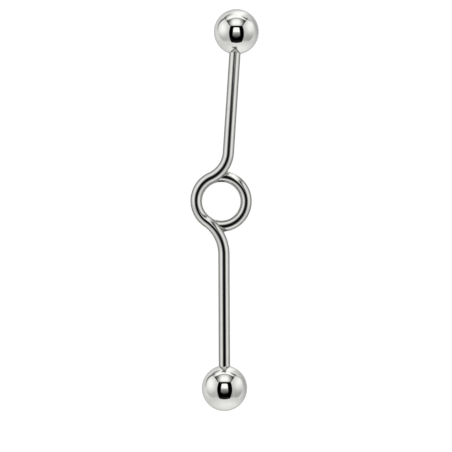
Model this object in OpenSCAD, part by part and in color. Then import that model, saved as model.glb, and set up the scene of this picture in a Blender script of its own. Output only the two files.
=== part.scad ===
// Industrial barbell with a round loop in its middle.
//
// A polished wire runs from ball to ball. It swings out to the left round half of a ring,
// and a closed ring of the same wire is soldered to the back of that half turn.
// A ball screws onto the plain pin at each end.
//
// The bar is drawn face up in its own plane: X to the right, Y along the line through the
// balls, Z towards the viewer. place() then lays the barbell on a surface, where it rests
// on both balls and on the left edge of the ring.

/* [Wire] */
// Thickness of the wire of the bar and of the ring
wire_d = 1.25; // [1:0.05:1.6]
// Length of the bar from ball seat to ball seat
bar_length = 35; // [32:0.5:44]
// Angle of the upper arm off the line through the balls
upper_lean = 1.85; // [0:0.05:4]
// Angle of the lower arm off the line through the balls
lower_lean = 2.15; // [0:0.05:4]
// Radius of the bend between the upper arm and the ring, at the middle of the wire
upper_bend_r = 3.3; // [2:0.05:4.5]
// Radius of the bend between the lower arm and the ring, at the middle of the wire
lower_bend_r = 4.5; // [2.5:0.05:6]

/* [Ring] */
// Width of the ring's hole
ring_hole_d = 4.3; // [3.5:0.05:5.5]
// How far the ring's middle stands left of the line through the balls
ring_shift = 1.05; // [0.5:0.05:2]
// How far the ring's middle stands above the middle of the bar
ring_rise = 0.9; // [-2:0.05:2]
// Gap between the ring's wire and the wire in front of it, filled by the solder
solder_gap = 0.02; // [0.01:0.01:0.1]
// Width of the solder seam between the two wires
solder_w = 0.5; // [0.3:0.05:0.8]
// How far short of the bends the solder seam ends, in degrees round the ring
solder_short = 14; // [14:1:40]

/* [Balls] */
// Width of each ball
ball_d = 5; // [4.5:0.1:6]
// Depth of the seat for the bar's shoulder below the ball's surface
seat_depth = 0.3; // [0.2:0.02:0.6]
// Gap round the wire where it enters the ball's seat
seat_side_gap = 0.02; // [0.01:0.01:0.05]
// Gap between the bar's shoulder and the seat
seat_face_gap = 0.02; // [0.01:0.01:0.05]

/* [Pins] */
// Thickness of the pin on which a ball is screwed
pin_d = 0.9; // [0.7:0.05:0.95]
// Length of the pin beyond the bar's shoulder
pin_length = 2.6; // [1.5:0.1:3.2]
// Width of the bevel round the pin's tip
pin_bevel = 0.12; // [0.05:0.01:0.2]
// Gap between the pin and the bore all round
bore_side_gap = 0.03; // [0.02:0.01:0.06]
// Room in the bore beyond the pin's tip
bore_end_gap = 0.25; // [0.1:0.05:0.5]

/* [Hidden] */
$fn = 96;

steel = [0.80, 0.80, 0.78];
ball_steel = [0.72, 0.72, 0.71];

// Ends of the bar: +1 is the top one and -1 is the bottom one
TOP = 1;
BOTTOM = -1;
// How far a cut runs past the surface that it opens
cut_over = 1;
// Gap between two stretches of the wire, and how far the bead that fills it stands proud
joint_gap = 0.01;
bead_proud = 0.005;

wire_r = wire_d / 2;
ball_r = ball_d / 2;
pin_r = pin_d / 2;
ring_r = ring_hole_d / 2 + wire_r;
ring_middle = [-ring_shift, ring_rise];

// The ring's wire lies straight behind the strand's wire
ring_back = wire_d + solder_gap;

// Distance of a seat, and of the bar's shoulder in it, from the middle of its ball
seat_from_ball = ball_r - seat_depth;
shoulder_from_ball = seat_from_ball + seat_face_gap;
ball_y = bar_length / 2 + seat_from_ball;

function lean(end) = end == TOP ? upper_lean : lower_lean;
function bend_r(end) = end == TOP ? upper_bend_r : lower_bend_r;
function ball_middle(end) = [0, end * ball_y];

// Unit vectors of an arm: from its ball to the ring, and to the left of that line
function arm_way(end) = [-sin(lean(end)), -end * cos(lean(end))];
function arm_left(end) = [-cos(lean(end)), end * sin(lean(end))];

// Distance from the ball's middle to the start of the bend. There the bend's middle is
// bend_r to the left of the arm, and ring_r + bend_r from the middle of the ring.
function arm_run(end) =
    let (from_ring = ball_middle(end) + bend_r(end) * arm_left(end) - ring_middle,
         along = from_ring * arm_way(end),
         reach = ring_r + bend_r(end))
    -along - sqrt(along * along - from_ring * from_ring + reach * reach);
function bend_middle(end) =
    ball_middle(end) + arm_run(end) * arm_way(end) + bend_r(end) * arm_left(end);

function angle_of(v) = atan2(v[1], v[0]);
// Angle at which the strand meets the ring's circle, seen from the ring's middle
function meeting_angle(end) = angle_of(bend_middle(end) - ring_middle);
// Angle through which the bend turns
function bend_sweep(end) =
    abs(angle_of(-arm_left(end)) - angle_of(ring_middle - bend_middle(end)));

// The barbell rolls to the left until the ring's back left edge meets the surface
left_reach = ring_shift + ring_r;
rest_tilt = asin((ball_r - wire_r) / norm([left_reach, ring_back]))
    - atan2(ring_back, left_reach);

// Widest points to the left and right, once tilted: the origin lies midway between them
strand_left = left_reach * cos(rest_tilt) + wire_r;
ring_right = (ring_r - ring_shift) * cos(rest_tilt) + ring_back * sin(rest_tilt) + wire_r;
rest_x = (strand_left - max(ball_r, ring_right)) / 2;

// Lays what is drawn face up onto the surface at Z = 0
module place() {
    translate([rest_x, 0, ball_r]) rotate([0, -rest_tilt, 0]) children();
}

// Puts the children at a ball's middle with their Z axis along the arm, away from the ring
module at_ball(end) {
    translate([ball_middle(end)[0], ball_middle(end)[1], 0])
        rotate([-end * 90, 0, 0]) rotate([0, lean(end), 0]) children();
}

// Puts the children at the ring's middle, with the X axis through the middle of the bend
// and the strand's half turn on the side of +Y
module at_meeting(end) {
    rotate(meeting_angle(end)) mirror([0, end == BOTTOM ? 1 : 0, 0]) children();
}

// From the middle of the bend, puts the children at the start of the arm, which runs along +Y
module at_arm(end) {
    rotate(180 + bend_sweep(end)) translate([bend_r(end), 0, 0]) children();
}

// A whole ring of wire in the XY plane. r is its radius at the middle of the wire.
module wire_ring(r) {
    rotate_extrude() translate([r, 0]) circle(r = wire_r);
}

// Half of the space round a wire ring, with half the joint's gap: side is +1 for the half
// at +Y and -1 for the other
module half_space(r, side) {
    w = r + wire_d;
    translate([-w, side > 0 ? -joint_gap / 2 : joint_gap / 2 - w, -w]) cube([2 * w, w, 2 * w]);
}

// Closes the joint between two stretches of the wire
module bead() {
    sphere(r = wire_r + bead_proud);
}

// The strand's left half turn in front of the ring: a whole ring less what lies beyond
// the two meetings
module front_arc() {
    difference() {
        wire_ring(ring_r);
        for (end = [TOP, BOTTOM]) at_meeting(end) half_space(ring_r, -1);
    }
}

// The solder between the two wires: a band from the middle of one to the middle of the other
module solder() {
    seam = meeting_angle(BOTTOM) - meeting_angle(TOP) + 360 - 2 * solder_short;
    rotate(meeting_angle(TOP) + solder_short)
        rotate_extrude(angle = seam)
            translate([ring_r - solder_w / 2, -ring_back]) square([solder_w, ring_back]);
}

// The bend from the ring's circle to an arm, cut from a whole ring in the same way
module bend(end) {
    difference() {
        wire_ring(bend_r(end));
        half_space(bend_r(end), 1);
        rotate(180 + bend_sweep(end)) half_space(bend_r(end), 1);
    }
}

// One arm: the straight wire to the shoulder, and the pin with its bevelled tip
module arm(end) {
    shoulder = arm_run(end) - shoulder_from_ball;
    bead();
    rotate([-90, 0, 0]) {
        translate([0, 0, joint_gap / 2]) cylinder(r = wire_r, h = shoulder - joint_gap / 2);
        translate([0, 0, joint_gap / 2])
            cylinder(r = pin_r, h = shoulder + pin_length - pin_bevel - joint_gap / 2);
        translate([0, 0, shoulder + pin_length - pin_bevel])
            cylinder(r1 = pin_r, r2 = pin_r - pin_bevel, h = pin_bevel);
    }
}

module looped_bar() {
    color(steel) place() translate([ring_middle[0], ring_middle[1], 0]) {
        front_arc();
        for (end = [TOP, BOTTOM])
            at_meeting(end) {
                translate([ring_r, 0, 0]) bead();
                translate([ring_r + bend_r(end), 0, 0]) {
                    bend(end);
                    at_arm(end) arm(end);
                }
            }
        // The closed ring behind the half turn
        translate([0, 0, -ring_back]) wire_ring(ring_r);
        solder();
    }
}

// A ball with its bore for the pin and its seat for the shoulder
module ball(end) {
    bore_h = pin_length - seat_face_gap + bore_end_gap;
    color(ball_steel) place() at_ball(end) difference() {
        sphere(r = ball_r);
        translate([0, 0, -seat_from_ball]) cylinder(r = pin_r + bore_side_gap, h = bore_h);
        translate([0, 0, -ball_r - cut_over])
            cylinder(r = wire_r + seat_side_gap, h = seat_depth + cut_over);
    }
}

module top_ball() { ball(TOP); }
module bottom_ball() { ball(BOTTOM); }

looped_bar();
top_ball();
bottom_ball();
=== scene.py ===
"""Looks of an industrial barbell whose bar carries a soldered ring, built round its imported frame.

Each class builds one sub-assembly in the bar's own plane, in millimetres: X to the right,
Y along the line through the balls, Z towards the viewer. BarSizes.lay() then turns that
plane onto the floor, in metres, where the barbell rests on both balls and the ring's edge.
"""
import logging
import math
from dataclasses import dataclass
from enum import Enum
from typing import Any

import bmesh
import bpy
from bmesh.types import BMEdge, BMesh, BMVert
from bpy.types import Material, Node, NodeSocket, NodeTree, Object
from mathutils import Matrix, Vector


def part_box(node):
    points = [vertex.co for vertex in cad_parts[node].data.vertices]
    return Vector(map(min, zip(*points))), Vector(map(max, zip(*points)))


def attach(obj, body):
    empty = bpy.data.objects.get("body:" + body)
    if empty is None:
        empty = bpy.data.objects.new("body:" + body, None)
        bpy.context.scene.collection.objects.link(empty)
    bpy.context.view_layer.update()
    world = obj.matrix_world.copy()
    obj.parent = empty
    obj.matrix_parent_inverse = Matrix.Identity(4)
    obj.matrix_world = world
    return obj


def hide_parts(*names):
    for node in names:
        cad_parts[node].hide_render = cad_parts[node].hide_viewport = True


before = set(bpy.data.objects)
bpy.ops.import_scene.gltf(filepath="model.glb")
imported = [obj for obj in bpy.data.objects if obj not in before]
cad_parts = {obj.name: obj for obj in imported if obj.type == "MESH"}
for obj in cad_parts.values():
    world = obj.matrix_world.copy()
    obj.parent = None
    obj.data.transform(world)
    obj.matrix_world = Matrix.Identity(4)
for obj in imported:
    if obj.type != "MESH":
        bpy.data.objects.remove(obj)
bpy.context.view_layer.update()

MM = 0.001
NOWHERE = Vector((0, 0, 0))
ACROSS = Vector((1, 0, 0))
ALONG = Vector((0, 1, 0))
FACING = Vector((0, 0, 1))
DISPLAY_GAMMA = 2.2
WELD_MM = 1e-4
BEND_STEP_DEG = 2.0
WHITE = (1.0, 1.0, 1.0, 1.0)

# Two numbers: where an edge is 0 and where it is 1, the middle and half width of a ridge,
# a place, a size, or two shares
Pair = tuple[float, float]
# Where a band starts, where it is full, where it is last full, and where it ends
Band = tuple[float, float, float, float]

log = logging.getLogger("barbell")


class End(Enum):
    """The two ends of the bar, with the sign of their place along Y."""

    TOP = 1
    BOTTOM = -1


class Slot(Enum):
    """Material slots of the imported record."""

    WIRE = "wire_steel"
    BALL = "ball_steel"


class Place(Enum):
    """What a finish's marks are laid out on."""

    OBJECT = "Object"
    STRAIGHT_WIRE = "straight_wire"


@dataclass(frozen=True)
class BarSizes:
    """Sizes of the barbell in millimetres and degrees, the same as those of its CAD source."""

    wire_d: float = 1.25
    bar_length: float = 35.0
    upper_lean: float = 1.85
    lower_lean: float = 2.15
    upper_bend_r: float = 3.3
    lower_bend_r: float = 4.5
    ring_hole_d: float = 4.3
    ring_shift: float = 1.05
    ring_rise: float = 0.9
    solder_gap: float = 0.02
    ball_d: float = 5.0
    seat_depth: float = 0.3
    seat_side_gap: float = 0.02
    seat_face_gap: float = 0.02
    pin_d: float = 0.9
    pin_length: float = 2.6
    pin_bevel: float = 0.12
    bore_side_gap: float = 0.03
    bore_end_gap: float = 0.25

    @property
    def wire_r(self) -> float:
        """Radius of the wire."""
        return self.wire_d / 2

    @property
    def ball_r(self) -> float:
        """Radius of a ball."""
        return self.ball_d / 2

    @property
    def ring_r(self) -> float:
        """Radius of the ring, at the middle of its wire."""
        return self.ring_hole_d / 2 + self.wire_r

    @property
    def ring_middle(self) -> Vector:
        """Middle of the half turn that the strand makes in front of the ring."""
        return Vector((-self.ring_shift, self.ring_rise, 0))

    @property
    def ring_back(self) -> float:
        """Distance of the ring's wire behind the strand's wire."""
        return self.wire_d + self.solder_gap

    @property
    def seat_from_ball(self) -> float:
        """Distance of a seat from the middle of its ball."""
        return self.ball_r - self.seat_depth

    @property
    def shoulder_from_ball(self) -> float:
        """Distance of the bar's shoulder from the middle of its ball."""
        return self.seat_from_ball + self.seat_face_gap

    @property
    def ball_y(self) -> float:
        """Distance of a ball's middle from the middle of the bar."""
        return self.bar_length / 2 + self.seat_from_ball

    @property
    def rest_tilt(self) -> float:
        """Work out how far the barbell rolls left until the ring touches the floor.

        Returns:
            The angle in radians.
        """
        left_reach = self.ring_shift + self.ring_r
        drop = self.ball_r - self.wire_r
        return math.asin(drop / math.hypot(left_reach, self.ring_back)) - math.atan2(
            self.ring_back, left_reach
        )

    def lay(self) -> Matrix:
        """Work out how the bar's own plane lies on the floor.

        Returns:
            The matrix from millimetres in the bar's plane to metres in the frame. The balls'
            middle comes from the frame.
        """
        low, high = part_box("top_ball")
        ball_x = (low.x + high.x) / 2
        turn = Matrix.Rotation(-self.rest_tilt, 4, "Y")
        return Matrix.Translation((ball_x, 0, self.ball_r * MM)) @ turn @ Matrix.Scale(MM, 4)


@dataclass(frozen=True)
class ArmLine:
    """The line that one arm of the bar follows from its ball to the ring."""

    sizes: BarSizes
    end: End

    @property
    def lean(self) -> float:
        """Angle of the arm off the line through the balls, in radians."""
        s = self.sizes
        return math.radians(s.upper_lean if self.end is End.TOP else s.lower_lean)

    @property
    def bend_r(self) -> float:
        """Radius of the arm's bend, at the middle of the wire."""
        s = self.sizes
        return s.upper_bend_r if self.end is End.TOP else s.lower_bend_r

    @property
    def ball(self) -> Vector:
        """Middle of the arm's ball."""
        return Vector((0, self.end.value * self.sizes.ball_y, 0))

    @property
    def way(self) -> Vector:
        """Unit vector from the ball towards the ring."""
        return Vector((-math.sin(self.lean), -self.end.value * math.cos(self.lean), 0))

    @property
    def left(self) -> Vector:
        """Unit vector to the left of the arm, on the side of the bend's middle."""
        return Vector((-math.cos(self.lean), self.end.value * math.sin(self.lean), 0))

    @property
    def run(self) -> float:
        """Work out how far the start of the bend is from the ball's middle.

        Returns:
            The distance that puts the bend's middle ring_r + bend_r from the ring's middle.
        """
        reach = self.sizes.ring_r + self.bend_r
        from_ring = self.ball + self.bend_r * self.left - self.sizes.ring_middle
        along = from_ring.dot(self.way)
        return -along - math.sqrt(along**2 - from_ring.length_squared + reach**2)

    @property
    def bend_middle(self) -> Vector:
        """Middle of the bend."""
        return self.ball + self.run * self.way + self.bend_r * self.left

    @property
    def shoulder(self) -> Vector:
        """Middle of the shoulder that stands in the ball's seat."""
        return self.ball + self.sizes.shoulder_from_ball * self.way

    @property
    def meeting_angle(self) -> float:
        """Angle at which the bend meets the ring's circle, seen from the ring's middle."""
        spoke = self.bend_middle - self.sizes.ring_middle
        return math.atan2(spoke.y, spoke.x) % math.tau

    @property
    def sweep(self) -> float:
        """Work out the angle through which the bend turns.

        Returns:
            The angle in radians.
        """
        start = -self.left
        finish = self.sizes.ring_middle - self.bend_middle
        return abs(math.atan2(start.cross(finish).z, start.dot(finish)))


def wire_up(tree: NodeTree, node: Node, inputs: dict[str | int, Any]) -> None:
    """Link or set the inputs of a node.

    Args:
        tree: The node's tree.
        node: The node.
        inputs: What goes into each: a signal or a socket is linked and a constant is set.
    """
    for name, term in inputs.items():
        source = term.socket if isinstance(term, Signal) else term
        if isinstance(source, NodeSocket):
            tree.links.new(source, node.inputs[name])
        else:
            node.inputs[name].default_value = source


def add_node(
    tree: NodeTree, kind: str, inputs: dict[str | int, Any], **settings: Any
) -> Node:
    """Add a node to a tree and wire it up.

    Args:
        tree: The tree.
        kind: The node's type.
        inputs: Its inputs, as for wire_up.
        settings: Its settings, which are made first.

    Returns:
        The node.
    """
    node = tree.nodes.new(kind)
    for name, value in settings.items():
        setattr(node, name, value)
    wire_up(tree, node, inputs)
    return node


class Signal:
    """A number that varies over a surface, worked out by nodes in a node tree."""

    def __init__(self, tree: NodeTree, socket: NodeSocket) -> None:
        """Wrap an output socket of a node tree."""
        self.tree = tree
        self.socket = socket

    def _math(self, operation: str, *terms: "Signal | float") -> "Signal":
        """Put terms into a Math node in their order, and take what comes out."""
        node = add_node(self.tree, "ShaderNodeMath", dict(enumerate(terms)), operation=operation)
        return Signal(self.tree, node.outputs[0])

    def __add__(self, other: "Signal | float") -> "Signal":
        """Sum."""
        return self._math("ADD", self, other)

    def __sub__(self, other: "Signal | float") -> "Signal":
        """Difference."""
        return self._math("SUBTRACT", self, other)

    def __rsub__(self, other: float) -> "Signal":
        """Difference from a constant."""
        return self._math("SUBTRACT", other, self)

    def __mul__(self, other: "Signal | float") -> "Signal":
        """Product."""
        return self._math("MULTIPLY", self, other)

    def __truediv__(self, other: "Signal | float") -> "Signal":
        """Quotient."""
        return self._math("DIVIDE", self, other)

    def __abs__(self) -> "Signal":
        """Size without the sign."""
        return self._math("ABSOLUTE", self)

    def root(self) -> "Signal":
        """Square root."""
        return self._math("SQRT", self)

    def angle(self, across: "Signal") -> "Signal":
        """Angle of the point (across, self), from -pi to pi."""
        return self._math("ARCTAN2", self, across)

    def power(self, exponent: float) -> "Signal":
        """Power."""
        return self._math("POWER", self, exponent)

    def peak(self, other: "Signal") -> "Signal":
        """The larger of two."""
        return self._math("MAXIMUM", self, other)

    def flat(self, value: float) -> "Signal":
        """Signal of one value everywhere, in this signal's tree."""
        return self._math("ADD", value, 0.0)

    def rise(self, start: float, finish: float) -> "Signal":
        """Ease from 0 at start to 1 at finish.

        Args:
            start: Where it is 0.
            finish: Where it is 1, which may be below start.

        Returns:
            The eased signal.
        """
        span = {
            "Value": self,
            "From Min": min(start, finish),
            "From Max": max(start, finish),
            "To Min": float(start > finish),
            "To Max": float(start < finish),
        }
        node = add_node(self.tree, "ShaderNodeMapRange", span, interpolation_type="SMOOTHSTEP")
        return Signal(self.tree, node.outputs["Result"])

    def band(self, start: float, full: float, last: float, end: float) -> "Signal":
        """Ease up from 0 at start to 1 at full, and down from 1 at last to 0 at end."""
        return self.rise(start, full) * self.rise(end, last)

    def ridge(self, middle: float, width: float) -> "Signal":
        """Ease up to 1 at the middle and down again, within a width to each side."""
        return abs(self - middle).rise(width, 0.0)

    def paint(self, value: "Signal | float", mask: "Signal") -> "Signal":
        """Lay another value over this one where a mask is 1."""
        node = add_node(self.tree, "ShaderNodeMix", {"Factor": mask, "A": self, "B": value})
        return Signal(self.tree, node.outputs["Result"])


@dataclass(frozen=True)
class BuffingMarks:
    """The marks that buffing leaves in a steel, as a node group that both steels share."""

    name: str = "Buffing marks"
    noise_roughness: float = 0.6
    fine_octaves: float = 2.0
    hair_octaves: float = 1.0
    hair_grain: float = 2.7
    hair_ridge: Pair = (0.5, 0.02)
    patch_scale: float = 0.9
    patch_octaves: float = 3.0
    patch_from: Pair = (0.42, 0.72)
    height_shares: Pair = (0.6, 0.4)
    worn_shares: Pair = (0.7, 0.3)

    def _noise(self, place: NodeSocket, scale: Signal | float, octaves: float) -> Signal:
        """Add a noise texture.

        Args:
            place: Where it is read.
            scale: Its scale.
            octaves: Its number of finer octaves.

        Returns:
            Its value.
        """
        inputs = {"Vector": place, "Scale": scale, "Detail": octaves}
        inputs["Roughness"] = self.noise_roughness
        node = add_node(place.id_data, "ShaderNodeTexNoise", inputs)
        return Signal(place.id_data, node.outputs["Fac"])

    def group(self) -> NodeTree:
        """Build the group, or find it if it is there.

        Returns:
            A group that turns a place in millimetres into a height, a roughness and a mask
            of where the polish is tired.
        """
        if self.name in bpy.data.node_groups:
            return bpy.data.node_groups[self.name]
        group = bpy.data.node_groups.new(self.name, "ShaderNodeTree")
        face = group.interface
        face.new_socket("Place", in_out="INPUT", socket_type="NodeSocketVector")
        for label in ("Grain", "Stretch", "Smooth", "Worn"):
            face.new_socket(label, in_out="INPUT", socket_type="NodeSocketFloat")
        for label in ("Height", "Roughness", "Tired"):
            face.new_socket(label, in_out="OUTPUT", socket_type="NodeSocketFloat")
        given = add_node(group, "NodeGroupInput", {}).outputs
        grain, stretch, smooth, worn = (
            Signal(group, given[label]) for label in ("Grain", "Stretch", "Smooth", "Worn")
        )
        split = add_node(group, "ShaderNodeSeparateXYZ", {"Vector": given["Place"]}).outputs
        along = Signal(group, split["Z"]) / stretch
        drawn = add_node(
            group, "ShaderNodeCombineXYZ", {"X": split["X"], "Y": split["Y"], "Z": along}
        ).outputs["Vector"]
        fine = self._noise(drawn, grain, self.fine_octaves)
        hairs = self._noise(drawn, grain * self.hair_grain, self.hair_octaves)
        patches = self._noise(given["Place"], self.patch_scale, self.patch_octaves)
        hairline = hairs.ridge(*self.hair_ridge)
        tired = patches.rise(*self.patch_from)
        marks = {
            "Height": fine * self.height_shares[0] - hairline * self.height_shares[1],
            "Roughness": smooth
            + worn * (tired * self.worn_shares[0] + hairline * self.worn_shares[1]),
            "Tired": tired,
        }
        add_node(group, "NodeGroupOutput", marks)
        return group


@dataclass(frozen=True)
class SteelFinish:
    """A polished steel, with the marks that buffing leaves in it.

    Fields:
        name: The material's name.
        place: What the marks are laid out on.
        bright: Colour of the cleanly polished metal.
        dull: Colour where the polish is a little tired.
        edge_tint: Tint of the reflection at a glancing angle.
        smooth: Roughness of the cleanly polished metal.
        worn: Roughness added where the polish is a little tired.
        grain: Buffing marks to a millimetre.
        stretch: How far the marks are drawn out along the third axis of their place.
        depth: Depth of the marks in millimetres.
    """

    name: str
    place: Place
    bright: tuple[float, float, float]
    dull: tuple[float, float, float]
    edge_tint: float
    smooth: float
    worn: float
    grain: float
    stretch: float
    depth: float

    def material(self) -> Material:
        """Build the finish.

        Returns:
            A new material whose marks come from the shared group.
        """
        made = bpy.data.materials.new(self.name)
        made.use_nodes = True
        tree = made.node_tree
        if self.place is Place.OBJECT:
            metres = add_node(tree, "ShaderNodeTexCoord", {}).outputs["Object"]
            scaling = {"Vector": metres, "Scale": 1 / MM}
            place = add_node(tree, "ShaderNodeVectorMath", scaling, operation="SCALE")
        else:
            place = add_node(tree, "ShaderNodeAttribute", {}, attribute_name=self.place.value)
        marking = {
            "Place": place.outputs["Vector"],
            "Grain": self.grain,
            "Stretch": self.stretch,
            "Smooth": self.smooth,
            "Worn": self.worn,
        }
        group = BuffingMarks().group()
        marks = add_node(tree, "ShaderNodeGroup", marking, node_tree=group).outputs
        mixing = {"Factor": marks["Tired"], "A": (*self.bright, 1.0), "B": (*self.dull, 1.0)}
        tone = add_node(tree, "ShaderNodeMix", mixing, data_type="RGBA")
        height = {"Height": marks["Height"], "Distance": self.depth * MM}
        relief = add_node(tree, "ShaderNodeBump", height)
        metal = {
            "Metallic": 1.0,
            "Specular Tint": (*[self.edge_tint] * 3, 1.0),
            "Base Color": tone.outputs["Result"],
            "Roughness": marks["Roughness"],
            "Normal": relief.outputs["Normal"],
        }
        wire_up(tree, tree.nodes["Principled BSDF"], metal)
        return made


WIRE_FINISH = SteelFinish(
    name="Drawn wire, polished",
    place=Place.STRAIGHT_WIRE,
    bright=(0.60, 0.60, 0.58),
    dull=(0.56, 0.56, 0.545),
    edge_tint=0.25,
    smooth=0.06,
    worn=0.03,
    grain=9.0,
    stretch=14.0,
    depth=0.0003,
)
BALL_FINISH = SteelFinish(
    name="Ball, mirror polished",
    place=Place.OBJECT,
    bright=(0.62, 0.62, 0.60),
    dull=(0.59, 0.59, 0.575),
    edge_tint=0.8,
    smooth=0.025,
    worn=0.02,
    grain=5.0,
    stretch=1.5,
    depth=0.0002,
)


def stretches(angle: float) -> int:
    """Number of short straight stretches that make up a bend of an angle in radians."""
    return max(2, round(abs(math.degrees(angle)) / BEND_STEP_DEG))


def spin(
    mesh: BMesh,
    geom: list[Any],
    centre: Vector,
    axis: Vector,
    angle: float,
    steps: int,
    advance: Vector = NOWHERE,
    merge: bool = False,
) -> list[BMEdge]:
    """Spin part of a mesh round an axis.

    Args:
        mesh: The mesh.
        geom: The part to spin.
        centre: A point on the axis.
        axis: Unit vector along it.
        angle: The whole turn in radians.
        steps: Number of steps.
        advance: How far each step moves, for a thread.
        merge: Whether the end of a full turn is merged with its start.

    Returns:
        The edges at the end of the turn.
    """
    made = bmesh.ops.spin(
        mesh,
        geom=geom,
        cent=centre,
        axis=axis,
        dvec=advance,
        angle=angle,
        steps=steps,
        space=Matrix.Identity(4),
        use_merge=merge,
        use_normal_flip=False,
        use_duplicate=False,
    )["geom_last"]
    return [g for g in made if isinstance(g, BMEdge)]


def extrude(mesh: BMesh, rim: list[BMEdge]) -> tuple[list[BMVert], list[BMEdge]]:
    """Extrude an open rim where it is.

    Args:
        mesh: The mesh.
        rim: The rim's edges.

    Returns:
        The new points, still in the old ones' places, and the new rim.
    """
    made = bmesh.ops.extrude_edge_only(mesh, edges=rim)["geom"]
    verts = [g for g in made if isinstance(g, BMVert)]
    return verts, [g for g in made if isinstance(g, BMEdge) and len(g.link_faces) == 1]


def put_in_scene(name: str, mesh: BMesh, finish: Material) -> Object:
    """Make an object of a bmesh and put it in the scene.

    Args:
        name: The object's name.
        mesh: Its shape, which is freed.
        finish: Its material.

    Returns:
        The object.
    """
    data = bpy.data.meshes.new(name)
    mesh.to_mesh(data)
    mesh.free()
    data.materials.append(finish)
    made = bpy.data.objects.new(name, data)
    bpy.context.scene.collection.objects.link(made)
    return made


def make_piece(
    name: str,
    mesh: BMesh,
    lay: Matrix,
    finish: Material,
    crease_deg: float = 40.0,
) -> Object:
    """Lay a finished bmesh on the floor as a piece of the barbell.

    Args:
        name: The piece's name.
        mesh: Its shape in the bar's plane, in millimetres. It is freed.
        lay: How the bar's plane lies on the floor.
        finish: Its material.
        crease_deg: Edges sharper than this stay sharp, in degrees.

    Returns:
        The new object, at the origin, with its place in its mesh.
    """
    bmesh.ops.remove_doubles(mesh, verts=mesh.verts, dist=WELD_MM)
    bmesh.ops.recalc_face_normals(mesh, faces=mesh.faces)
    bmesh.ops.transform(mesh, matrix=lay, verts=mesh.verts)
    made = put_in_scene(name, mesh, finish)
    data = made.data
    data.polygons.foreach_set("use_smooth", [True] * len(data.polygons))
    data.set_sharp_from_angle(angle=math.radians(crease_deg))
    return made


class WireBender:
    """Bends a round wire in a plane that faces the viewer: straight, bend, straight.

    The point that each part of the surface had on the straight wire is kept in the
    straight_wire attribute, so that the marks of drawing follow the bends.
    """

    def __init__(self, radius: float, sides: int, start: Vector, way: Vector) -> None:
        """Cut the wire's first end.

        Args:
            radius: Radius of the wire.
            sides: Number of sides of its section.
            start: Middle of its first end.
            way: Unit vector along which it leaves.
        """
        self.mesh = bmesh.new()
        self.straight = self.mesh.verts.layers.float_vector.new(Place.STRAIGHT_WIRE.value)
        self.start, self.first_way = start.copy(), way.copy()
        self.middle, self.way = start.copy(), way.copy()
        self.length = 0.0
        made = bmesh.ops.create_circle(self.mesh, cap_ends=False, segments=sides, radius=radius)
        for vert in made["verts"]:
            vert[self.straight] = vert.co
        turn = FACING.rotation_difference(way).to_matrix().to_4x4()
        bmesh.ops.transform(
            self.mesh, matrix=Matrix.Translation(start) @ turn, verts=made["verts"]
        )
        self.rim = list(self.mesh.edges)
        self.first_rim = list(self.rim)

    def _mark(self, verts: list[BMVert], length: float) -> None:
        """Note how far along the straight wire some new points are.

        Args:
            verts: The points.
            length: How far along they are.
        """
        for vert in verts:
            place = vert[self.straight]
            vert[self.straight] = (place.x, place.y, length)

    def go(self, length: float) -> None:
        """Carry on straight.

        Args:
            length: How far.
        """
        verts, self.rim = extrude(self.mesh, self.rim)
        bmesh.ops.translate(self.mesh, vec=self.way * length, verts=verts)
        self.length += length
        self.middle += self.way * length
        self._mark(verts, self.length)

    def bend(self, centre: Vector, radius: float, angle: float) -> None:
        """Bend round a mandrel.

        Args:
            centre: Middle of the bend.
            radius: Radius of the bend, at the middle of the wire.
            angle: Turn in radians, positive to the left of the way.
        """
        seen = set(self.mesh.verts)
        rim_verts = {v for e in self.rim for v in e.verts}
        geom = [*self.rim, *rim_verts]
        self.rim = spin(self.mesh, geom, centre, FACING, angle, stretches(angle))
        spoke = self.middle - centre
        for vert in set(self.mesh.verts) - seen:
            here = vert.co - centre
            turned = math.atan2(spoke.cross(here).z, spoke.dot(here))
            self._mark([vert], self.length + radius * abs(turned))
        turn = Matrix.Rotation(angle, 3, "Z")
        self.middle = centre + turn @ spoke
        self.way = turn @ self.way
        self.length += radius * abs(angle)

    def back_to_start(self) -> None:
        """Take hold of the first end, to carry on from there the other way."""
        self.rim = list(self.first_rim)
        self.middle = self.start.copy()
        self.way = -self.first_way
        self.length = 0.0

    def turn_down(self, advance: float, radius: float) -> None:
        """Turn the end to another radius, as on a lathe.

        Args:
            advance: How far the new section lies beyond the last one.
            radius: Its radius.
        """
        self.go(advance)
        for vert in {v for e in self.rim for v in e.verts}:
            spoke = vert.co - self.middle
            vert.co = self.middle + spoke * (radius / spoke.length)

    def close(self) -> None:
        """Close the open end with a flat face."""
        bmesh.ops.edgeloop_fill(self.mesh, edges=self.rim)


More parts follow.
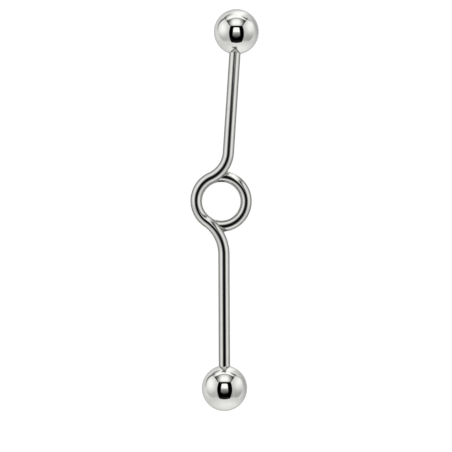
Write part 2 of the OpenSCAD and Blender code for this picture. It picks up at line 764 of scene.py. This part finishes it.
@dataclass
class SolderSeam:
    """The solder in the two hollows between the strand and the ring behind it.

    Fields:
        sizes: The barbell's sizes.
        fillet_r: Radius of the hollow that the solder leaves between the two wires.
        root: Where the solder starts, off the middle of the seam.
        hollow_steps: Number of stretches in the hollow's section.
        tail_step_deg: Turn of each stretch of the tail in which a fillet runs out.
        tail_shares: Size of the tail's sections against the fillet's.
        tail_core: Where the tail's middle lies, off the middle of the seam, in wire radii.
    """

    sizes: BarSizes
    fillet_r: float = 0.2
    root: float = 0.15
    hollow_steps: int = 4
    tail_step_deg: float = 3.0
    tail_shares: tuple[float, ...] = (0.85, 0.6, 0.3)
    tail_core: float = 0.3

    @property
    def seam(self) -> Vector:
        """Middle of the circle along which the two wires meet."""
        return self.sizes.ring_middle - FACING * (self.sizes.ring_back / 2)

    def run(self) -> BMesh:
        """Run solder into both hollows.

        Returns:
            The two fillets in the bar's plane.
        """
        s = self.sizes
        mesh = bmesh.new()
        half_gap = s.ring_back / 2
        reach = math.sqrt((s.wire_r + self.fillet_r) ** 2 - half_gap**2)
        tip = math.atan2(half_gap, reach)
        outline = [Vector((self.root, 0))]
        for step in range(self.hollow_steps + 1):
            angle = math.pi - tip + step * 2 * tip / self.hollow_steps
            hollow = Vector((math.cos(angle), math.sin(angle))) * self.fillet_r
            outline.append(Vector((reach, 0)) + hollow)
        for side in (-1, 1):
            self._fillet(mesh, outline, side)
        return mesh

    def _fillet(self, mesh: BMesh, outline: list[Vector], side: int) -> None:
        """Run one fillet along the seam and let it run out past both meetings.

        Args:
            mesh: The mesh that gets it.
            outline: Its section, as distances out of the seam and forwards.
            side: 1 on the ring's outside and -1 in its hole.
        """
        start, finish = (ArmLine(self.sizes, end).meeting_angle for end in End)
        spoke = Matrix.Rotation(start, 3, "Z") @ ACROSS
        corners = [
            mesh.verts.new(self.seam + spoke * (self.sizes.ring_r + side * p.x) + FACING * p.y)
            for p in outline
        ]
        edges = [
            mesh.edges.new((a, b)) for a, b in zip(corners, corners[1:] + corners[:1])
        ]
        turn = finish - start
        last = spin(mesh, [*edges, *corners], self.seam, FACING, turn, stretches(turn))
        self._tail(mesh, edges, start, -1, side)
        self._tail(mesh, last, finish, 1, side)

    def _tail(
        self,
        mesh: BMesh,
        rim: list[BMEdge],
        angle: float,
        way: int,
        side: int,
    ) -> None:
        """Let a fillet's end run out in a tail.

        Args:
            mesh: The mesh that holds it.
            rim: Edges of its open end.
            angle: Angle of that end on the seam's circle.
            way: 1 to go on counter-clockwise and -1 to go on clockwise.
            side: 1 on the ring's outside and -1 in its hole.
        """
        off = self.sizes.ring_r + side * self.sizes.wire_r * self.tail_core
        step = math.radians(self.tail_step_deg) * way
        before = 1.0
        for count, share in enumerate(self.tail_shares, start=1):
            verts, rim = extrude(mesh, rim)
            turn = Matrix.Rotation(step, 3, "Z")
            bmesh.ops.rotate(mesh, cent=self.seam, matrix=turn, verts=verts)
            core = self.seam + Matrix.Rotation(angle + count * step, 3, "Z") @ ACROSS * off
            for vert in verts:
                vert.co = core + (vert.co - core) * (share / before)
            before = share
        bmesh.ops.edgeloop_fill(mesh, edges=rim)


@dataclass
class LoopedBar:
    """The bar: one bent wire with a threaded pin at each end, and the closed ring behind it.

    Fields:
        sizes: The barbell's sizes.
        sides: Number of sides of the wire's section.
        shoulder_bevel: Width of the bevel round the shoulder.
        neck: Length of the plain neck between the shoulder and the thread.
        thread_pitch: Distance from thread to thread.
        thread_depth: Height of the thread above the pin's core.
        thread_bury: How far the thread's foot lies inside the core, in thread depths.
        thread_foot: Half width of the thread's foot, in pitches.
        thread_crest: Half width of its crest, in pitches.
        thread_steps: Number of stretches in a turn of the thread.
    """

    sizes: BarSizes
    sides: int = 64
    shoulder_bevel: float = 0.03
    neck: float = 0.2
    thread_pitch: float = 0.25
    thread_depth: float = 0.08
    thread_bury: float = 0.25
    thread_foot: float = 0.45
    thread_crest: float = 0.08
    thread_steps: int = 24

    def _pin(self, wire: WireBender) -> None:
        """Turn a pin on a wire's end and cut its thread.

        Args:
            wire: The wire, held at the end that gets the pin.
        """
        s = self.sizes
        core_r = s.pin_d / 2 - self.thread_depth
        base = wire.middle.copy()
        wire.turn_down(0.0, s.wire_r - self.shoulder_bevel)
        wire.turn_down(0.0, core_r)
        wire.turn_down(s.pin_length - s.pin_bevel, core_r)
        wire.turn_down(s.pin_bevel, core_r - s.pin_bevel)
        wire.close()
        self._thread(wire.mesh, base + wire.way * self.neck, wire.way, core_r)

    def _thread(self, mesh: BMesh, start: Vector, way: Vector, core_r: float) -> None:
        """Wind a thread round a pin.

        Args:
            mesh: The mesh that gets it.
            start: Where it begins, on the pin's axis.
            way: Unit vector along the pin.
            core_r: Radius of the pin below the thread.
        """
        s = self.sizes
        crest_r = s.pin_d / 2
        foot_r = core_r - self.thread_depth * self.thread_bury
        foot = self.thread_pitch * self.thread_foot
        crest = self.thread_pitch * self.thread_crest
        turns = (s.pin_length - self.neck - s.pin_bevel - foot * 2) / self.thread_pitch
        outline = ((-foot, foot_r), (-crest, crest_r), (crest, crest_r), (foot, foot_r))
        section = mesh.faces.new(
            [mesh.verts.new(start + way * (foot + a) + FACING * r) for a, r in outline]
        )
        steps = round(turns * self.thread_steps)
        geom = [section, *section.edges, *section.verts]
        advance = way * (turns * self.thread_pitch / steps)
        spin(mesh, geom, start, way, turns * math.tau, steps, advance)

    def bend_strand(self) -> BMesh:
        """Bend the strand from the top pin to the bottom one.

        Returns:
            Its mesh in the bar's plane.
        """
        s = self.sizes
        top, bottom = ArmLine(s, End.TOP), ArmLine(s, End.BOTTOM)
        bevel = self.shoulder_bevel
        wire = WireBender(s.wire_r, self.sides, top.shoulder + top.way * bevel, top.way)
        wire.go(top.run - s.shoulder_from_ball - bevel)
        wire.bend(top.bend_middle, top.bend_r, -top.sweep)
        wire.bend(s.ring_middle, s.ring_r, bottom.meeting_angle - top.meeting_angle)
        wire.bend(bottom.bend_middle, bottom.bend_r, -bottom.sweep)
        wire.go(bottom.run - s.shoulder_from_ball - bevel)
        wire.go(bevel)
        self._pin(wire)
        wire.back_to_start()
        wire.go(bevel)
        self._pin(wire)
        return wire.mesh

    def bend_ring(self) -> BMesh:
        """Bend the closed ring behind the strand.

        Returns:
            Its mesh in the bar's plane.
        """
        s = self.sizes
        middle = s.ring_middle - FACING * s.ring_back
        wire = WireBender(s.wire_r, self.sides, middle - ACROSS * s.ring_r, -ALONG)
        wire.bend(middle, s.ring_r, math.pi)
        halfway = wire.length
        wire.bend(middle, s.ring_r, math.pi)
        for vert in wire.mesh.verts:
            place = vert[wire.straight]
            vert[wire.straight] = (place.x, place.y, halfway - abs(place.z - halfway))
        return wire.mesh

    def build(self, lay: Matrix, finish: Material) -> list[Object]:
        """Build the bar's pieces and hang them on the bar's body.

        Args:
            lay: How the bar's plane lies on the floor.
            finish: The wire's material.

        Returns:
            The strand, the ring and the solder.
        """
        made = [
            make_piece("bar_strand", self.bend_strand(), lay, finish),
            make_piece("bar_ring", self.bend_ring(), lay, finish),
            make_piece("bar_solder", SolderSeam(self.sizes).run(), lay, finish),
        ]
        for piece in made:
            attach(piece, "bar")
            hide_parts("looped_bar")
        return made


@dataclass
class ScrewBall:
    """One ball, with the seat for the bar's shoulder and the bore for its pin.

    Fields:
        sizes: The barbell's sizes.
        end: The end of the bar that carries it.
        arc_steps: Number of stretches in the half circle that the ball is turned from.
        sides: Number of sides all round.
        lip: Width of the bevel round the seat's mouth.
        crease_deg: Edges sharper than this stay sharp.
    """

    sizes: BarSizes
    end: End
    arc_steps: int = 96
    sides: int = 144
    lip: float = 0.03
    crease_deg: float = 30.0

    @property
    def name(self) -> str:
        """Name of the ball's CAD node."""
        return "top_ball" if self.end is End.TOP else "bottom_ball"

    def _turned(self) -> BMesh:
        """Turn the ball on its own Z axis, with the seat at its lower end.

        Returns:
            The ball's mesh round its own middle.
        """
        s = self.sizes
        mesh = bmesh.new()
        seat_r = s.wire_r + s.seat_side_gap
        bore_r = s.pin_d / 2 + s.bore_side_gap
        bore_h = s.pin_length - s.seat_face_gap + s.bore_end_gap
        mouth_r = seat_r + self.lip
        arc = math.pi - math.asin(mouth_r / s.ball_r)
        pole = mesh.verts.new(FACING * s.ball_r)
        spin(mesh, [pole], NOWHERE, ALONG, arc, self.arc_steps)
        last = min(mesh.verts, key=lambda v: v.co.z)
        outline = (
            (seat_r, self.lip - math.sqrt(s.ball_r**2 - mouth_r**2)),
            (seat_r, -s.seat_from_ball),
            (bore_r, -s.seat_from_ball),
            (bore_r, bore_h - s.seat_from_ball),
            (0.0, bore_h - s.seat_from_ball),
        )
        for radius, height in outline:
            corner = mesh.verts.new((radius, 0, height))
            mesh.edges.new((last, corner))
            last = corner
        profile = [*mesh.verts, *mesh.edges]
        spin(mesh, profile, NOWHERE, FACING, math.tau, self.sides, merge=True)
        return mesh

    def build(self, lay: Matrix, finish: Material) -> Object:
        """Build the ball and hang it on its own body.

        Args:
            lay: How the bar's plane lies on the floor.
            finish: The ball's material.

        Returns:
            The ball.
        """
        line = ArmLine(self.sizes, self.end)
        mesh = self._turned()
        turn = FACING.rotation_difference(-line.way).to_matrix().to_4x4()
        bmesh.ops.transform(
            mesh, matrix=Matrix.Translation(line.ball) @ turn, verts=mesh.verts
        )
        made = make_piece(f"{self.name}_polished", mesh, lay, finish, self.crease_deg)
        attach(made, self.name.replace("top", "upper").replace("bottom", "lower"))
        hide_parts(self.name)
        return made


@dataclass(frozen=True)
class ShootingAngle:
    """Where the photograph was taken from, against the bar's own plane.

    Fields:
        height_deg: How far the camera stands off the plane's normal, towards the lower ball.
        roll_deg: How far it is rolled.
        aim: What it looks at in the bar's plane, in millimetres.
        distance: Its distance from there, in millimetres.
        focal_px: Its focal length in pixels of the picture.
        picture_px: Width of the picture in pixels.
        film_mm: Width of the camera's film.
        nearest: The nearest thing that it shows, in metres.
    """

    height_deg: float = 2.0
    roll_deg: float = 1.909
    aim: tuple[float, float, float] = (-0.4285, -1.8795, 0.0)
    distance: float = 140.0
    focal_px: float = 1268.7
    picture_px: int = 452
    film_mm: float = 36.0
    nearest: float = 0.001

    def turn(self, lay: Matrix) -> Matrix:
        """Work out how the camera is turned in the frame.

        Args:
            lay: How the bar's plane lies on the floor.

        Returns:
            The turn from the camera's own axes: X to its right, Y up and Z back from what it shows.
        """
        own = Matrix.Rotation(math.radians(self.height_deg), 4, "X") @ Matrix.Rotation(
            math.radians(self.roll_deg), 4, "Z"
        )
        return lay.to_quaternion().to_matrix().to_4x4() @ own

    def aim_point(self, lay: Matrix) -> Vector:
        """Point in the frame that the camera looks at."""
        return lay @ Vector(self.aim)

    def place(self, lay: Matrix) -> Vector:
        """Place of the camera in the frame."""
        back = self.turn(lay).to_3x3() @ FACING
        return self.aim_point(lay) + back * self.distance * MM


@dataclass(frozen=True)
class MirrorPlace:
    """A place on a mirrored ball, in ball radii from its middle, as seen from the camera.

    Fields:
        x: Place across.
        y: Place up.
    """

    x: Signal
    y: Signal

    @classmethod
    def on_wall(cls, tree: NodeTree) -> "MirrorPlace":
        """Work out where on a mirrored ball each point of a round wall shows.

        A wall's own axes are X to the right, Y up and Z to the camera. The normal that
        mirrors a direction back along Z is halfway between the two.

        Args:
            tree: The wall's node tree.

        Returns:
            The place.
        """
        way = add_node(tree, "ShaderNodeTexCoord", {}).outputs["Object"]
        for operation, more in (("NORMALIZE", {}), ("ADD", {1: FACING}), ("NORMALIZE", {})):
            node = add_node(tree, "ShaderNodeVectorMath", {0: way, **more}, operation=operation)
            way = node.outputs["Vector"]
        normal = add_node(tree, "ShaderNodeSeparateXYZ", {"Vector": way}).outputs
        return cls(Signal(tree, normal["X"]), Signal(tree, normal["Y"]))

    def spoke(self) -> Signal:
        """Distance from the middle."""
        return (self.x * self.x + self.y * self.y).root()

    def bearing(self) -> Signal:
        """Angle round the middle in degrees, counter-clockwise from the right."""
        return self.y.angle(self.x) * (180 / math.pi)

    def oval(self, middle: Pair, half: Pair, square: float = 2.0) -> Signal:
        """Work out a distance that is 1 all along an oval.

        Args:
            middle: The oval's middle.
            half: Half of its width and of its height.
            square: 2 for an ellipse and more for a squarer shape.

        Returns:
            The distance from the middle.
        """
        across = abs((self.x - middle[0]) / half[0]).power(square)
        up = abs((self.y - middle[1]) / half[1]).power(square)
        return (across + up).power(1 / square)


@dataclass(frozen=True)
class Patch:
    """A soft oval patch on a wall.

    Fields:
        middle: Its middle.
        half: Half of its width and of its height.
        fade: Where it is gone and where it is full, as shares of that half.
        tone: Its tone.
    """

    middle: Pair
    half: Pair
    fade: Pair
    tone: float

    def over(self, tone: Signal, at: MirrorPlace) -> Signal:
        """Draw the patch over the tones that are there."""
        return tone.paint(self.tone, at.oval(self.middle, self.half).rise(*self.fade))


@dataclass(frozen=True)
class Room:
    """The pale room at the ball's rim and the table below, outside the light tent."""

    tone: float = 0.83
    low_tone: float = 0.80
    low_from: Pair = (-0.30, -0.42)
    shade_tone: float = 0.64
    shade_bearing: Pair = (14.0, 62.0)
    shade_from: Pair = (0.74, 0.92)
    table: Patch = Patch((0.10, -0.74), (0.85, 0.36), (1.0, 0.1), 0.905)
    edge_tone: float = 0.74
    edge_from: Pair = (0.90, 1.0)

    def draw(self, at: MirrorPlace) -> Signal:
        """Draw the room's tones, shaded to the right and lit low down.

        Args:
            at: The place on the ball.

        Returns:
            The tones.
        """
        shade = at.bearing().ridge(*self.shade_bearing) * at.spoke().rise(*self.shade_from)
        room = at.x.flat(self.tone).paint(self.low_tone, at.y.rise(*self.low_from))
        room = self.table.over(room.paint(self.shade_tone, shade), at)
        return room.paint(self.edge_tone, at.spoke().rise(*self.edge_from))


@dataclass(frozen=True)
class Tent:
    """The light tent round the camera: two lit side walls, a white top and its seams."""

    middle: Pair = (0.0, 0.06)
    half: Pair = (0.80, 0.59)
    square: float = 2.5
    rim: Pair = (1.01, 0.96)
    foot: Pair = (-0.45, -0.35)
    side_tone: float = 0.80
    low_left_tone: float = 0.69
    low_right_tone: float = 0.63
    low_across: Pair = (0.0, 0.4)
    low_from: Pair = (0.14, -0.34)
    fold_tone: float = 0.74
    fold_strength: float = 0.6
    fold_middle: float = 0.02
    fold: Pair = (0.385, 0.035)
    fold_from: Pair = (0.25, 0.1)
    left_lamp: Patch = Patch((-0.60, 0.19), (0.25, 0.40), (1.3, 0.0), 0.99)
    right_lamp: Patch = Patch((0.60, 0.27), (0.25, 0.40), (1.2, 0.0), 0.96)
    glow: Patch = Patch((0.13, 0.80), (0.48, 0.15), (1.0, 0.25), 1.0)
    top_middle: Pair = (0.03, 0.46)
    top_half: Pair = (0.52, 0.33)
    top_fade: Pair = (1.0, 0.72)
    top_from: Pair = (0.50, 0.56)
    top_tone: float = 1.0
    seam_tone: float = 0.16
    low_seam: Band = (0.965, 1.0, 1.01, 1.10)
    low_seam_bearing: Band = (121.0, 128.0, 158.0, 184.0)
    low_seam_fade: Pair = (165.0, 134.0)
    low_seam_strength: Pair = (0.32, 0.5)
    high_seam: Pair = (0.795, 0.055)
    high_seam_bearing: Band = (97.0, 126.0, 129.0, 135.0)
    high_seam_strength: float = 0.62
    right_seam: Pair = (0.79, 0.055)
    right_slope: float = 0.5
    right_from: Pair = (0.18, 0.43)
    right_dark_to: Pair = (0.51, 0.47)
    right_faint_to: Pair = (0.76, 0.55)
    right_strength: Pair = (0.75, 0.25)

    def _sides(self, at: MirrorPlace) -> Signal:
        """Draw the two side walls, bright where the lamps stand behind them.

        Args:
            at: The place on the ball.

        Returns:
            The tones.
        """
        low = at.x.flat(self.low_left_tone)
        low = low.paint(self.low_right_tone, at.x.rise(*self.low_across))
        wall = at.x.flat(self.side_tone).paint(low, at.y.rise(*self.low_from))
        fold = abs(at.x - self.fold_middle).ridge(*self.fold) * at.y.rise(*self.fold_from)
        wall = wall.paint(self.fold_tone, fold * self.fold_strength)
        return self.right_lamp.over(self.left_lamp.over(wall, at), at)

    def _seams(self, at: MirrorPlace) -> Signal:
        """Find the dark seams along the top of the tent.

        Args:
            at: The place on the ball.

        Returns:
            1 on a seam and 0 beside it.
        """
        bearing = at.bearing()
        faint, dark = self.low_seam_strength
        low = at.oval(self.middle, self.half, self.square).band(*self.low_seam)
        low = low * bearing.band(*self.low_seam_bearing)
        low = low * (bearing.rise(*self.low_seam_fade) * dark + faint)
        high = at.spoke().ridge(*self.high_seam) * bearing.band(*self.high_seam_bearing)
        dark, faint = self.right_strength
        right = (at.y + at.x * self.right_slope).ridge(*self.right_seam)
        right = right * at.x.rise(*self.right_from) * (
            at.x.rise(*self.right_dark_to) * dark + at.x.rise(*self.right_faint_to) * faint
        )
        return low.peak(high * self.high_seam_strength).peak(right)

    def draw(self, at: MirrorPlace, room: Signal) -> Signal:
        """Draw the tent over the room.

        Args:
            at: The place on the ball.
            room: The room's tones.

        Returns:
            The tones with the tent over them.
        """
        edge = at.oval(self.middle, self.half, self.square)
        inside = edge.rise(*self.rim) * at.y.rise(*self.foot)
        tone = self.glow.over(room.paint(self._sides(at), inside), at)
        top = at.oval(self.top_middle, self.top_half).rise(*self.top_fade)
        tone = tone.paint(self.top_tone, top * at.y.rise(*self.top_from))
        return tone.paint(self.seam_tone, self._seams(at))


@dataclass(frozen=True)
class Card:
    """The lit card above the camera: a fan with dark sides and an arched top."""

    middle: float = -0.004
    foot: float = 0.262
    foot_half: float = 0.281
    widening: float = 0.68
    arch: float = 0.597
    arch_fall: float = 0.70
    crisp: float = 0.01
    side_edge: Pair = (1.04, 1.0)
    lit_tone: float = 0.985
    dim_tone: float = 0.24
    lit_from: Pair = (1.0, 0.22)
    spread_at_foot: float = 0.62
    spread_per_rise: float = 1.8
    side_tone: float = 0.14
    side_from: Pair = (0.88, 0.95)
    shade: float = 0.16
    arch_shade_from: float = 0.44
    foot_shade: Pair = (0.08, 0.0)
    top_tone: float = 0.56
    top_width: float = 0.035
    top_ends: Pair = (1.03, 0.97)
    corner_tone: float = 0.22
    corner_from: Pair = (0.55, 1.0)
    link_tone: float = 0.40
    link: Pair = (0.99, 0.06)
    link_top: Pair = (0.62, 0.58)
    link_foot: float = 0.63

    def draw(self, at: MirrorPlace, tone: Signal) -> Signal:
        """Draw the card over the tent.

        Args:
            at: The place on the ball.
            tone: The tones behind it.

        Returns:
            The tones with the card over them.
        """
        rise = at.y - self.foot
        share = abs(at.x - self.middle) / (rise * self.widening + self.foot_half)
        arch = at.y + at.x * at.x * self.arch_fall
        spread = share * (rise * self.spread_per_rise + self.spread_at_foot)
        sheet = at.x.flat(self.dim_tone).paint(self.lit_tone, spread.rise(*self.lit_from))
        sheet = sheet.paint(self.side_tone, share.rise(*self.side_from))
        sheet = sheet * (1 - arch.rise(self.arch_shade_from, self.arch) * self.shade)
        sheet = sheet * (1 - rise.rise(*self.foot_shade) * self.shade)
        on_sheet = share.rise(*self.side_edge) * rise.rise(-self.crisp, self.crisp)
        on_sheet = on_sheet * arch.rise(self.arch + self.crisp, self.arch - self.crisp)
        link = share.ridge(*self.link) * at.y.rise(*self.link_top)
        link = link * arch.rise(self.arch, self.link_foot)
        top = arch.ridge(self.arch, self.top_width) * share.rise(*self.top_ends)
        edge = at.x.flat(self.top_tone).paint(self.corner_tone, share.rise(*self.corner_from))
        return tone.paint(self.link_tone, link).paint(sheet, on_sheet).paint(edge, top)


@dataclass(frozen=True)
class Screen:
    """The black screen round the camera."""

    middle: float = 0.008
    sides: Pair = (0.338, 0.313)
    barrel: float = 0.66
    barrel_y: float = -0.06
    top: Pair = (0.277, 0.252)
    foot: Pair = (-0.492, -0.462)
    foot_curve: float = 0.70
    tone: float = 0.02
    strip: Pair = (-0.405, 0.035)
    strip_ends: Pair = (0.22, 0.17)
    strip_tone: float = 0.18
    sheen: Pair = (-0.515, 0.025)
    sheen_ends: Pair = (0.26, 0.2)
    sheen_tone: float = 0.86

    def draw(self, at: MirrorPlace, tone: Signal) -> Signal:
        """Draw the screen, the strip along its foot and the sheen on the table below.

        Args:
            at: The place on the ball.
            tone: The tones behind it.

        Returns:
            The tones with all three over them.
        """
        off = abs(at.x - self.middle)
        belly = at.y - self.barrel_y
        black = (off + belly * belly * self.barrel).rise(*self.sides)
        black = black * (at.y - at.x * at.x * self.foot_curve).rise(*self.foot)
        black = black * at.y.rise(*self.top)
        strip = at.y.ridge(*self.strip) * off.rise(*self.strip_ends)
        sheen = at.y.ridge(*self.sheen) * off.rise(*self.sheen_ends)
        cloth = at.x.flat(self.tone).paint(self.strip_tone, strip)
        return tone.paint(self.sheen_tone, sheen).paint(cloth, black)


@dataclass(frozen=True)
class Window:
    """The window in the screen, white above and fading to the screen's black below."""

    middle: float = 0.002
    sides: Pair = (0.167, 0.135)
    widening: float = 0.12
    top: Pair = (0.21, 0.18)
    corner_drop: float = 80.0
    foot: Pair = (-0.30, -0.24)
    foot_curve: float = 4.0
    # Heights, and the tones from there down
    fade: tuple[Pair, ...] = (
        (0.02, 1.0),
        (-0.04, 0.66),
        (-0.10, 0.52),
        (-0.17, 0.38),
        (-0.24, 0.20),
        (-0.29, 0.04),
    )

    def draw(self, at: MirrorPlace, tone: Signal) -> Signal:
        """Draw the window over the screen.

        Args:
            at: The place on the ball.
            tone: The tones behind it.

        Returns:
            The tones with the window over them.
        """
        x = at.x - self.middle
        glass = (abs(x) + at.y * self.widening).rise(*self.sides)
        glass = glass * (at.y - x * x * self.foot_curve).rise(*self.foot)
        glass = glass * (at.y + x * x * x * x * self.corner_drop).rise(*self.top)
        shade = at.x.flat(self.fade[0][1])
        for (high, _), (low, dimmer) in zip(self.fade, self.fade[1:]):
            shade = shade.paint(dimmer, at.y.rise(high, low))
        return tone.paint(shade, glass)


@dataclass(frozen=True)
class BallWall:
    """The studio that a ball mirrors, in the tones that it shows there."""

    room: Room = Room()
    tent: Tent = Tent()
    card: Card = Card()
    screen: Screen = Screen()
    window: Window = Window()

    def draw(self, at: MirrorPlace) -> Signal:
        """Draw each thing over those behind it."""
        tone = self.card.draw(at, self.tent.draw(at, self.room.draw(at)))
        return self.window.draw(at, self.screen.draw(at, tone))


@dataclass(frozen=True)
class WireWall:
    """The studio that the wire mirrors: a dark core round the line along its top."""

    tone: float = 0.885
    low_tone: float = 0.80
    low_band: Band = (-0.50, -0.30, -0.16, 0.04)
    edge_tone: float = 0.55
    edge_from: Pair = (0.55, 0.87)
    rim_tone: float = 0.80
    rim_from: Pair = (0.88, 0.99)
    lamp_tone: float = 0.98
    lamp_bearing: Pair = (66.0, 17.0)
    lamp_from: Pair = (0.14, 0.32)
    stand_tone: float = 0.30
    stand_ridge: Pair = (-0.04, 0.10)
    stand_lean: float = 1.25
    stand_reach: Band = (0.17, 0.27, 0.45, 0.85)
    core: Patch = Patch((0.015, -0.05), (0.205, 0.22), (2.1, 0.45), 0.07)
    streak_ridge: Pair = (0.045, 0.065)
    streak_lean: float = 0.33
    streak_reach: Band = (0.065, 0.12, 0.30, 0.50)
    # What the upper ball sees in the wire, straight below
    foot_tone: float = 0.30
    foot_from: Pair = (-0.58, -0.68)
    foot_ends: Pair = (0.20, 0.10)

    def draw(self, at: MirrorPlace) -> Signal:
        """Draw the studio round the wire.

        Args:
            at: The place on the mirror.

        Returns:
            The tones.
        """
        spoke = at.spoke()
        tone = at.x.flat(self.tone).paint(self.low_tone, at.y.band(*self.low_band))
        tone = tone.paint(self.edge_tone, spoke.rise(*self.edge_from))
        tone = tone.paint(self.rim_tone, spoke.rise(*self.rim_from))
        lamp = at.bearing().ridge(*self.lamp_bearing) * spoke.rise(*self.lamp_from)
        tone = tone.paint(self.lamp_tone, lamp)
        rising = (at.x + at.y) * math.sqrt(0.5)
        stand = (at.y - at.x * self.stand_lean).ridge(*self.stand_ridge)
        tone = tone.paint(self.stand_tone, stand * rising.band(*self.stand_reach))
        streak = (at.x - at.y * self.streak_lean).ridge(*self.streak_ridge)
        streak = streak * at.y.band(*self.streak_reach)
        tone = self.core.over(tone, at).paint(self.lamp_tone, streak)
        foot = at.y.rise(*self.foot_from) * abs(at.x).rise(*self.foot_ends)
        return tone.paint(self.foot_tone, foot)


@dataclass
class Studio:
    """A pale floor and sky, soft walls that the polished metal mirrors, and the camera.

    Fields:
        angle: Where the camera stands.
        lay: How the bar's plane lies on the floor.
        floor_half: Half the width of the floor, in metres.
        floor_grey: How much light the floor scatters.
        floor_glow: Light that the floor gives by itself.
        sky: Strength of the sky.
        ball_wall: Radius of the wall round each ball, in metres.
        wire_wall: Radius of the wall round the bar, in metres.
        wall_sides: Number of sides of a wall all round, and from pole to pole.
    """

    angle: ShootingAngle
    lay: Matrix
    floor_half: float = 3.0
    floor_grey: float = 0.8
    floor_glow: float = 0.78
    sky: float = 0.33
    ball_wall: float = 0.2
    wire_wall: float = 1.0
    wall_sides: tuple[int, int] = (96, 48)

    def add_camera(self) -> None:
        """Put up the camera at the photograph's viewing angle."""
        a = self.angle
        data = bpy.data.cameras.new("camera")
        data.sensor_width = a.film_mm
        data.lens = a.focal_px / a.picture_px * a.film_mm
        data.clip_start = a.nearest
        camera = bpy.data.objects.new("camera", data)
        camera.matrix_world = Matrix.Translation(a.place(self.lay)) @ a.turn(self.lay)
        bpy.context.scene.collection.objects.link(camera)
        bpy.context.scene.camera = camera

    def add_floor(self) -> None:
        """Lay the plain pale floor, which the polish doesn't mirror."""
        mesh = bmesh.new()
        bmesh.ops.create_grid(mesh, x_segments=1, y_segments=1, size=self.floor_half)
        paper = bpy.data.materials.new("Pale paper")
        paper.use_nodes = True
        sheet = {
            "Base Color": (*[self.floor_grey] * 3, 1.0),
            "Roughness": 1.0,
            "Specular IOR Level": 0.0,
            "Emission Color": WHITE,
            "Emission Strength": self.floor_glow,
        }
        wire_up(paper.node_tree, paper.node_tree.nodes["Principled BSDF"], sheet)
        floor = put_in_scene("floor", mesh, paper)
        floor.visible_glossy = False
        floor.visible_shadow = False

    def add_sky(self) -> None:
        """Light the room evenly. The polish mirrors the walls and not the sky."""
        world = bpy.data.worlds.new("sky")
        world.use_nodes = True
        tree = world.node_tree
        path = add_node(tree, "ShaderNodeLightPath", {}).outputs
        camera_ray = Signal(tree, path["Is Camera Ray"])
        glossy_ray = Signal(tree, path["Is Glossy Ray"])
        strength = ((1 - glossy_ray) * self.sky).paint(1.0, camera_ray)
        wire_up(tree, tree.nodes["Background"], {"Strength": strength, "Color": WHITE})
        world.cycles.sampling_method = "NONE"
        bpy.context.scene.world = world

    def add_wall(
        self,
        name: str,
        pieces: list[Object],
        middle: Vector,
        radius: float,
        wall: BallWall | WireWall,
        finish: SteelFinish,
    ) -> None:
        """Put up a round wall that only some pieces mirror, with its front to the camera.

        Args:
            name: Whose wall it is.
            pieces: The pieces that it lights.
            middle: Its middle.
            radius: Its radius in metres.
            wall: What is drawn on it.
            finish: The steel that shows it.
        """
        mesh = bmesh.new()
        round_sides, pole_sides = self.wall_sides
        bmesh.ops.create_uvsphere(
            mesh, u_segments=round_sides, v_segments=pole_sides, radius=radius
        )
        made = put_in_scene(f"{name}_wall", mesh, self._glow(name, wall, finish))
        turn = self.angle.turn(self.lay)
        to_camera = self.angle.place(self.lay) - middle
        swing = (turn.to_3x3() @ FACING).rotation_difference(to_camera).to_matrix().to_4x4()
        made.matrix_world = Matrix.Translation(middle) @ swing @ turn
        for ray in ("camera", "diffuse", "transmission", "shadow"):
            setattr(made, f"visible_{ray}", False)
        lit = bpy.data.collections.new(f"{name}_lit")
        for piece in pieces:
            lit.objects.link(piece)
        made.light_linking.receiver_collection = lit

    def _glow(self, name: str, wall: BallWall | WireWall, finish: SteelFinish) -> Material:
        """Make the material of a wall that gives light and lets other walls through.

        Args:
            name: Whose wall it is.
            wall: What is drawn on it.
            finish: The steel that shows it.

        Returns:
            The material. The steel shows its light in the wall's own tones.
        """
        glow = bpy.data.materials.new(f"{name} wall")
        glow.use_nodes = True
        glow.cycles.emission_sampling = "NONE"
        tree = glow.node_tree
        tree.nodes.clear()
        tone = wall.draw(MirrorPlace.on_wall(tree))
        strength = tone.power(DISPLAY_GAMMA) / finish.bright[0]
        clear = add_node(tree, "ShaderNodeBsdfTransparent", {})
        light = add_node(tree, "ShaderNodeEmission", {"Strength": strength})
        both = {0: clear.outputs[0], 1: light.outputs[0]}
        surface = add_node(tree, "ShaderNodeAddShader", both).outputs[0]
        add_node(tree, "ShaderNodeOutputMaterial", {"Surface": surface})
        return glow


def main() -> None:
    """Build the barbell, then the studio round it."""
    logging.basicConfig(level=logging.INFO, format="%(name)s: %(message)s")
    bpy.context.scene.view_settings.view_transform = "Standard"
    sizes = BarSizes()
    lay = sizes.lay()
    wire_steel = WIRE_FINISH.material()
    ball_steel = BALL_FINISH.material()
    bar = LoopedBar(sizes).build(lay, wire_steel)
    balls = [ScrewBall(sizes, end).build(lay, ball_steel) for end in End]
    for piece in [*bar, *balls]:
        log.info("%s: %d faces", piece.name, len(piece.data.polygons))
    studio = Studio(ShootingAngle(), lay)
    studio.add_camera()
    studio.add_floor()
    studio.add_sky()
    for ball, end in zip(balls, End):
        middle = lay @ ArmLine(sizes, end).ball
        studio.add_wall(ball.name, [ball], middle, studio.ball_wall, BallWall(), BALL_FINISH)
    middle = studio.angle.aim_point(lay)
    studio.add_wall("bar", bar, middle, studio.wire_wall, WireWall(), WIRE_FINISH)


if __name__ == "__main__":
    main()
